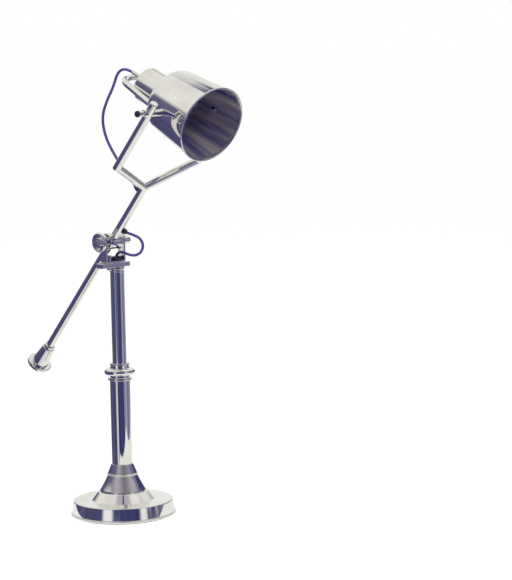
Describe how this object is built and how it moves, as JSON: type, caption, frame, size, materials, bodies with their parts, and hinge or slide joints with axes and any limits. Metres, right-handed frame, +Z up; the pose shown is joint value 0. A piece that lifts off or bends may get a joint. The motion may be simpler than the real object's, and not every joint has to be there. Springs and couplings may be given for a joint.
{
  "type": "tabletop searchlight lamp",
  "caption": "Polished tabletop searchlight lamp: round weighted base, stepped column, swivelling yoke, counterweighted arm with wishbone fork and a tilting drum shade with rear handle.",
  "frame": {"origin": "centre of the underside of the base pad, on the table", "axes": "+Z up along the column, +X the way the arm leans and the shade faces, Y along the arm pivot and the shade pivots (-Y is the side of the disc knob)"},
  "size_m": [0.5557, 0.2478, 0.85],
  "materials": {
    "polished_nickel": "mirror polished nickel plate",
    "satin_reflector": "satin spun reflector",
    "felt": "felt",
    "iron": "cast",
    "black_rubber": "matte",
    "lead_sheath": "satin dark blue-black sheath",
    "black_plastic": "gloss"
  },
  "bodies": {
    "stand": {"base_pad": "felt", "foot_plate": "polished_nickel", "base_cover": "polished_nickel", "ballast_weight": "iron", "lead_grommet": "black_rubber", "bell_skirt": "polished_nickel", "lower_column": "polished_nickel", "collar": "polished_nickel", "upper_column": "polished_nickel", "tie_tube": "polished_nickel", "tie_nut": "polished_nickel", "swivel_seat": "polished_nickel", "swivel_nut": "polished_nickel"},
    "yoke": {"yoke_bar": "polished_nickel", "yoke_strap": "polished_nickel", "strap_screw": "polished_nickel", "strap_nut": "polished_nickel", "lead_dome": "black_plastic", "pivot_bolt": "polished_nickel", "pivot_nut": "polished_nickel", "pivot_washer": "polished_nickel", "pivot_spacer": "polished_nickel"},
    "disc_knob": {"disc_knob": "polished_nickel"},
    "arm": {"clamp_block": "polished_nickel", "arm_tube": "polished_nickel", "fork_bar_near": "polished_nickel", "fork_prong_near": "polished_nickel", "fork_bar_far": "polished_nickel", "fork_prong_far": "polished_nickel", "prong_bushes": "polished_nickel", "lower_gland": "black_plastic", "upper_gland": "black_plastic", "weight_neck": "polished_nickel", "counterweight": "polished_nickel", "weight_foot": "polished_nickel", "head_lead": "lead_sheath", "arm_lead": "lead_sheath"},
    "head": {"shade": "polished_nickel", "reflector": "satin_reflector", "rear_can": "polished_nickel", "lampholder": "black_plastic", "head_gland": "polished_nickel", "rear_handle": "polished_nickel", "pivot_bosses": "polished_nickel", "head_bolts": "polished_nickel", "lock_nut": "polished_nickel", "acorn_nut": "polished_nickel", "rim_clips": "polished_nickel"},
    "tilt_knob": {"tilt_knob": "polished_nickel", "tilt_knob_tip": "black_plastic"}
  },
  "joints": [
    {"name": "swivel", "type": "hinge", "parent": "stand", "child": "yoke", "pos_m": [0, 0, 0.4791], "axis": [0, 0, 1], "range_deg": [-170, 170]},
    {"name": "arm_tilt", "type": "hinge", "parent": "yoke", "child": "arm", "pos_m": [0, -0.0104, 0.5242], "axis": [0, 1, 0], "range_deg": [-8, 38], "deforming": ["arm_lead"]},
    {"name": "head_tilt", "type": "hinge", "parent": "arm", "child": "head", "pos_m": [0.22309, -0.0104, 0.77196], "axis": [0, 1, 0], "range_deg": [-60, 50], "deforming": ["head_lead"]},
    {"name": "disc_knob_turn", "type": "hinge", "parent": "yoke", "child": "disc_knob", "pos_m": [0, -0.0405, 0.5242], "axis": [0, 1, 0], "range_deg": [-180, 180]},
    {"name": "tilt_knob_turn", "type": "hinge", "parent": "head", "child": "tilt_knob", "pos_m": [0.22309, -0.1275, 0.77196], "axis": [0, 1, 0], "range_deg": [-180, 180]}
  ]
}
